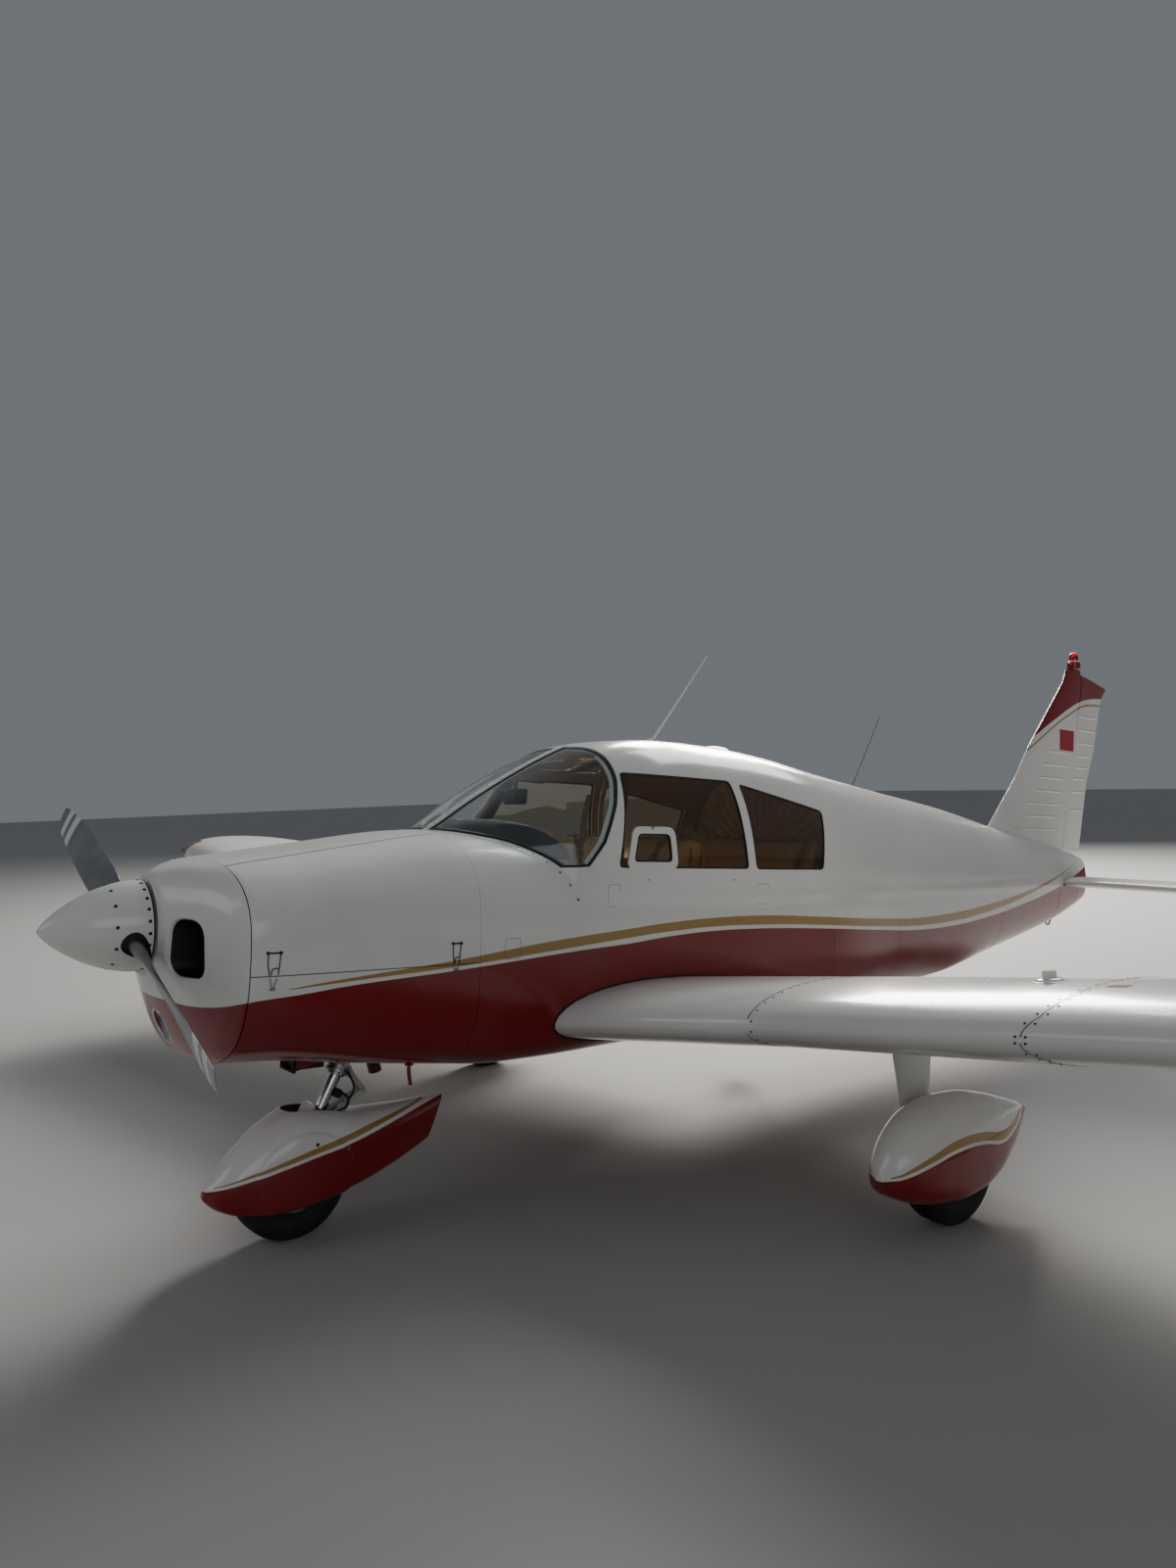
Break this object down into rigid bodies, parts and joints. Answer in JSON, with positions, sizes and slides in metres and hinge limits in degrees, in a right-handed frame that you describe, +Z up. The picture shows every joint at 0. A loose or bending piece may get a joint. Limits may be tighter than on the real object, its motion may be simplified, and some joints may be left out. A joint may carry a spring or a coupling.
{
  "type": "four-seat low-wing light aircraft with fixed tricycle gear",
  "caption": "Four-seat low-wing light aircraft on fixed tricycle gear, with propeller, doors, control surfaces and steered nose wheel.",
  "frame": {"origin": "on the floor, below the middle of the aircraft's box", "axes": "+X aft, +Y to starboard, +Z up; the nose points along -X"},
  "size_m": [7.154, 9.144, 2.4457],
  "materials": {
    "white_paint": "gloss",
    "red_paint": "gloss",
    "bare_metal": "satin",
    "chrome": "polished",
    "dark_metal": "matte",
    "black_plastic": "matte",
    "tyre": "matte",
    "clear_glass": "clear",
    "tinted_glass": "smoke tint",
    "red_glass": "clear red",
    "leather": "pleated",
    "carpet": "short pile"
  },
  "bodies": {
    "airframe": {"nose_bowl": "white_paint", "landing_light": "clear_glass", "cowl_top": "white_paint", "cowl_lower": "red_paint", "engine_block": "dark_metal", "nose_gear_mount": "dark_metal", "cabin_shell": "white_paint", "windscreen_left": "clear_glass", "windscreen_right": "clear_glass", "window_front_left": "tinted_glass", "window_rear_left": "tinted_glass", "window_rear_right": "tinted_glass", "storm_window": "white_paint", "cabin_floor": "carpet", "instrument_panel": "black_plastic", "front_seat_left": "leather", "front_seat_right": "leather", "rear_seat": "leather", "tail_cone": "white_paint", "tail_cap": "white_paint", "wing_left": "white_paint", "wing_right": "white_paint", "fin": "white_paint", "beacon": "red_glass", "main_leg_left": "white_paint", "main_leg_right": "white_paint", "main_fairing_left": "white_paint", "main_fairing_right": "white_paint", "whip_antenna": "white_paint", "wire_antenna": "bare_metal", "roof_dome": "white_paint", "exhaust_pipe": "dark_metal", "boarding_step": "black_plastic", "pitot_mast": "white_paint", "tail_tiedown": "bare_metal"},
    "propeller": {"propeller": "bare_metal", "spinner": "white_paint"},
    "cowl_lid_left": {"cowl_lid_left": "white_paint"},
    "cowl_lid_right": {"cowl_lid_right": "white_paint"},
    "cabin_door": {"cabin_door": "white_paint", "door_window": "tinted_glass"},
    "baggage_door": {"baggage_door": "white_paint"},
    "flap_left": {"flap_left": "white_paint"},
    "flap_right": {"flap_right": "white_paint"},
    "aileron_left": {"aileron_left": "white_paint"},
    "aileron_right": {"aileron_right": "white_paint"},
    "rudder": {"rudder": "white_paint"},
    "stabilator": {"stabilator": "white_paint"},
    "stabilator_tab": {"stabilator_tab": "white_paint"},
    "nose_leg": {"nose_strut": "chrome", "nose_fork": "bare_metal", "nose_fairing": "white_paint"},
    "nose_wheel": {"nose_wheel": "tyre"},
    "main_wheel_left": {"main_wheel_left": "tyre"},
    "main_wheel_right": {"main_wheel_right": "tyre"}
  },
  "joints": [
    {"name": "propeller_spin", "type": "hinge", "parent": "airframe", "child": "propeller", "pos_m": [-3.30111, 0, 1.20927], "axis": [0.9995, 0, -0.0323], "continuous": true},
    {"name": "cowl_lid_left_hinge", "type": "hinge", "parent": "airframe", "child": "cowl_lid_left", "pos_m": [-2.62427, -0.2385, 1.44222], "axis": [-0.9957, -0.055, -0.0748], "range_deg": [0, 100]},
    {"name": "cowl_lid_right_hinge", "type": "hinge", "parent": "airframe", "child": "cowl_lid_right", "pos_m": [-2.62427, 0.2385, 1.44222], "axis": [0.9957, -0.055, 0.0748], "range_deg": [0, 100]},
    {"name": "cabin_door_hinge", "type": "hinge", "parent": "airframe", "child": "cabin_door", "pos_m": [-1.64089, 0.553, 1.28834], "axis": [0.0671, 0, 0.9977], "range_deg": [0, 75]},
    {"name": "baggage_door_hinge", "type": "hinge", "parent": "airframe", "child": "baggage_door", "pos_m": [0.13089, 0.476, 1.2553], "axis": [0.9878, -0.1409, -0.0665], "range_deg": [0, 100]},
    {"name": "flap_right_hinge", "type": "hinge", "parent": "airframe", "child": "flap_right", "pos_m": [-0.3709, 1.5, 0.72427], "axis": [0.0082, 0.9925, 0.1216], "range_deg": [0, 40]},
    {"name": "flap_left_hinge", "type": "hinge", "parent": "airframe", "child": "flap_left", "pos_m": [-0.3709, -1.5, 0.72427], "axis": [-0.0082, 0.9925, -0.1216], "range_deg": [0, 40]},
    {"name": "aileron_right_hinge", "type": "hinge", "parent": "airframe", "child": "aileron_right", "pos_m": [-0.35441, 3.5, 0.96929], "axis": [0.0082, 0.9925, 0.1216], "range_deg": [-30, 15]},
    {"name": "aileron_left_hinge", "type": "hinge", "parent": "airframe", "child": "aileron_left", "pos_m": [-0.35441, -3.5, 0.96929], "axis": [-0.0082, 0.9925, -0.1216], "range_deg": [-30, 15]},
    {"name": "rudder_hinge", "type": "hinge", "parent": "airframe", "child": "rudder", "pos_m": [2.88573, 0, 1.07091], "axis": [0.2525, 0, 0.9676], "range_deg": [-27, 27]},
    {"name": "stabilator_hinge", "type": "hinge", "parent": "airframe", "child": "stabilator", "pos_m": [2.88952, 0, 0.85918], "axis": [0, 1, 0], "range_deg": [-18, 2]},
    {"name": "stabilator_tab_hinge", "type": "hinge", "parent": "stabilator", "child": "stabilator_tab", "pos_m": [3.28862, 0, 0.83232], "axis": [0, 1, 0], "range_deg": [-12, 1.33]},
    {"name": "nose_steering", "type": "hinge", "parent": "airframe", "child": "nose_leg", "pos_m": [-2.74651, 0, 0.21415], "axis": [0.4977, 0, 0.8673], "range_deg": [-22, 22]},
    {"name": "nose_wheel_spin", "type": "hinge", "parent": "nose_leg", "child": "nose_wheel", "pos_m": [-2.74651, 0, 0.21415], "axis": [0, 1, 0], "continuous": true},
    {"name": "main_wheel_left_spin", "type": "hinge", "parent": "airframe", "child": "main_wheel_left", "pos_m": [-0.85724, -1.547, 0.21415], "axis": [0, 1, 0], "continuous": true},
    {"name": "main_wheel_right_spin", "type": "hinge", "parent": "airframe", "child": "main_wheel_right", "pos_m": [-0.85724, 1.547, 0.21415], "axis": [0, 1, 0], "continuous": true}
  ],
  "couplings": [
    {"joint": "flap_left_hinge", "follows": "flap_right_hinge", "ratio": 1},
    {"joint": "stabilator_tab_hinge", "follows": "stabilator_hinge", "ratio": 0.66667},
    {"joint": "nose_steering", "follows": "rudder_hinge", "ratio": -0.81481}
  ]
}
